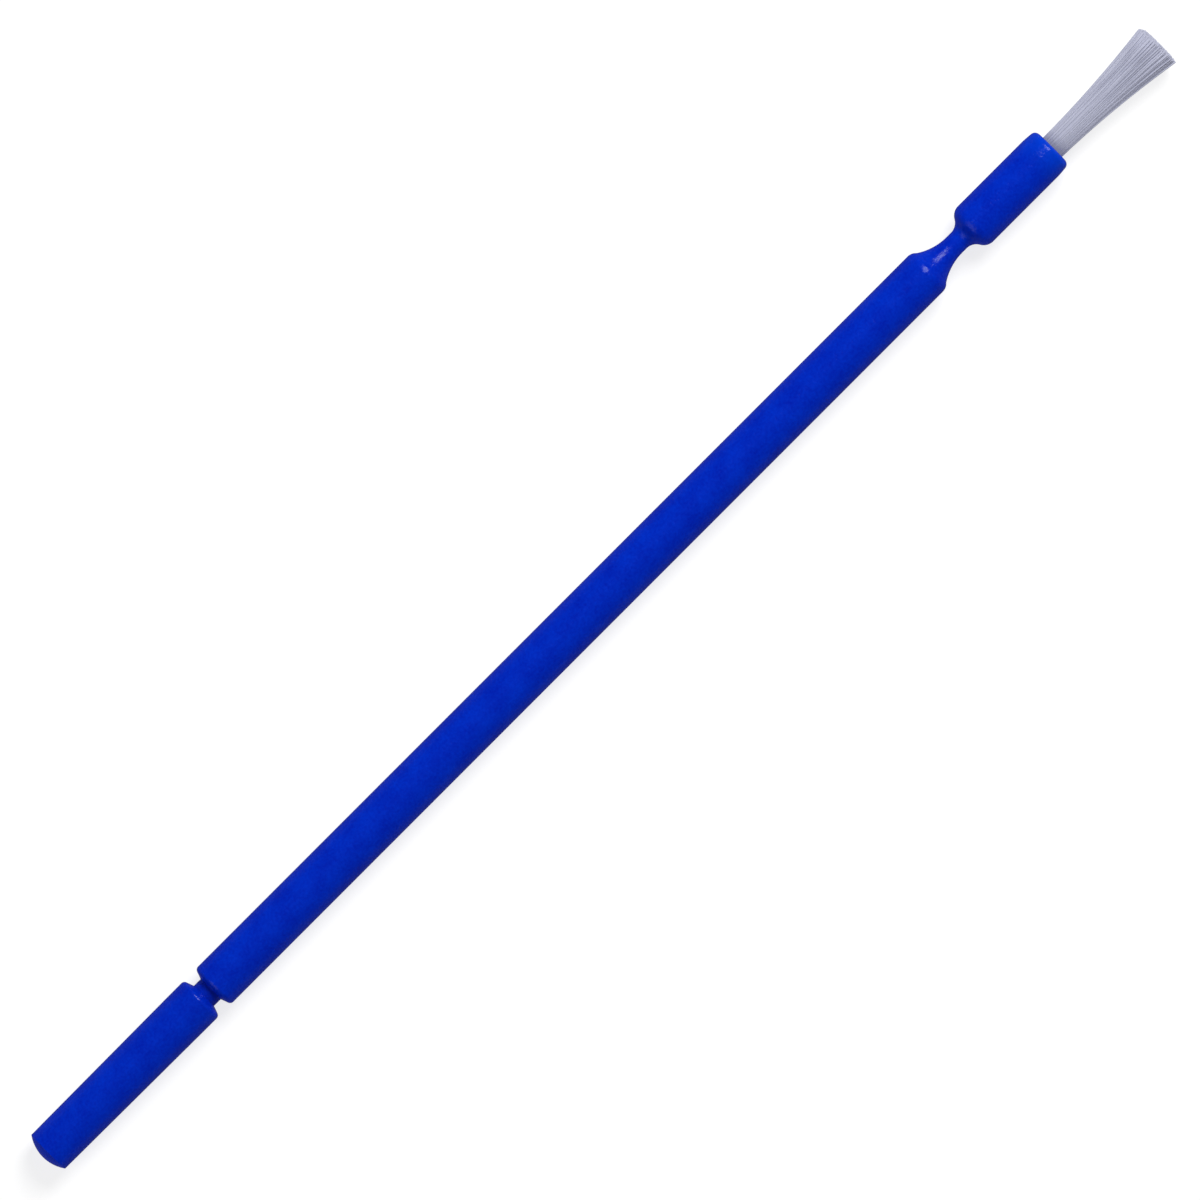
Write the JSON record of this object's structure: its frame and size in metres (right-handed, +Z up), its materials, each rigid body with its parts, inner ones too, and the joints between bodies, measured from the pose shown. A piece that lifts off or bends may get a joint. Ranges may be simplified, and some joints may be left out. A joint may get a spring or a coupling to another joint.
{
  "type": "bendable cleaning brush",
  "caption": "Slim moulded stick brush with a snap-off tail, a bendable neck and a flared tuft of fine nylon filaments.",
  "frame": {"origin": "halfway along the stick's own axis", "axes": "+X runs along the axis from the tail to the tuft, +Z is up and +Y is to the left of +X; the brush lies on its side"},
  "size_m": [0.1, 0.0032, 0.0032],
  "materials": {
    "stick_plastic": "cobalt blue polypropylene with a fine frosted mould texture",
    "anchor_wire": "plain drawn flat wire",
    "filament_nylon": "milky translucent nylon monofilament"
  },
  "bodies": {
    "handle": {"grip_shaft": "stick_plastic", "snap_notch": "stick_plastic", "bend_neck": "stick_plastic"},
    "tail": {"snap_off_tail": "stick_plastic"},
    "head": {"brush_head": "stick_plastic", "tuft_anchor": "anchor_wire"},
    "tuft": {"edge_filaments": "filament_nylon", "core_filaments": "filament_nylon"}
  },
  "joints": [
    {"name": "tail_snap", "type": "hinge", "parent": "handle", "child": "tail", "pos_m": [-0.03524, 0, 0], "axis": [0, 0, 1], "range_deg": [-30, 30], "deforming": ["snap_notch"]},
    {"name": "neck_bend", "type": "hinge", "parent": "handle", "child": "head", "pos_m": [0.03199, 0, 0], "axis": [0, 0, 1], "range_deg": [-90, 90], "deforming": ["bend_neck"]},
    {"name": "tuft_flex", "type": "hinge", "parent": "head", "child": "tuft", "pos_m": [0.04055, 0, 0], "axis": [0, 0, 1], "range_deg": [-25, 25], "stiffness_Nm_per_rad": 0.0012, "deforming": ["edge_filaments", "core_filaments"]}
  ]
}
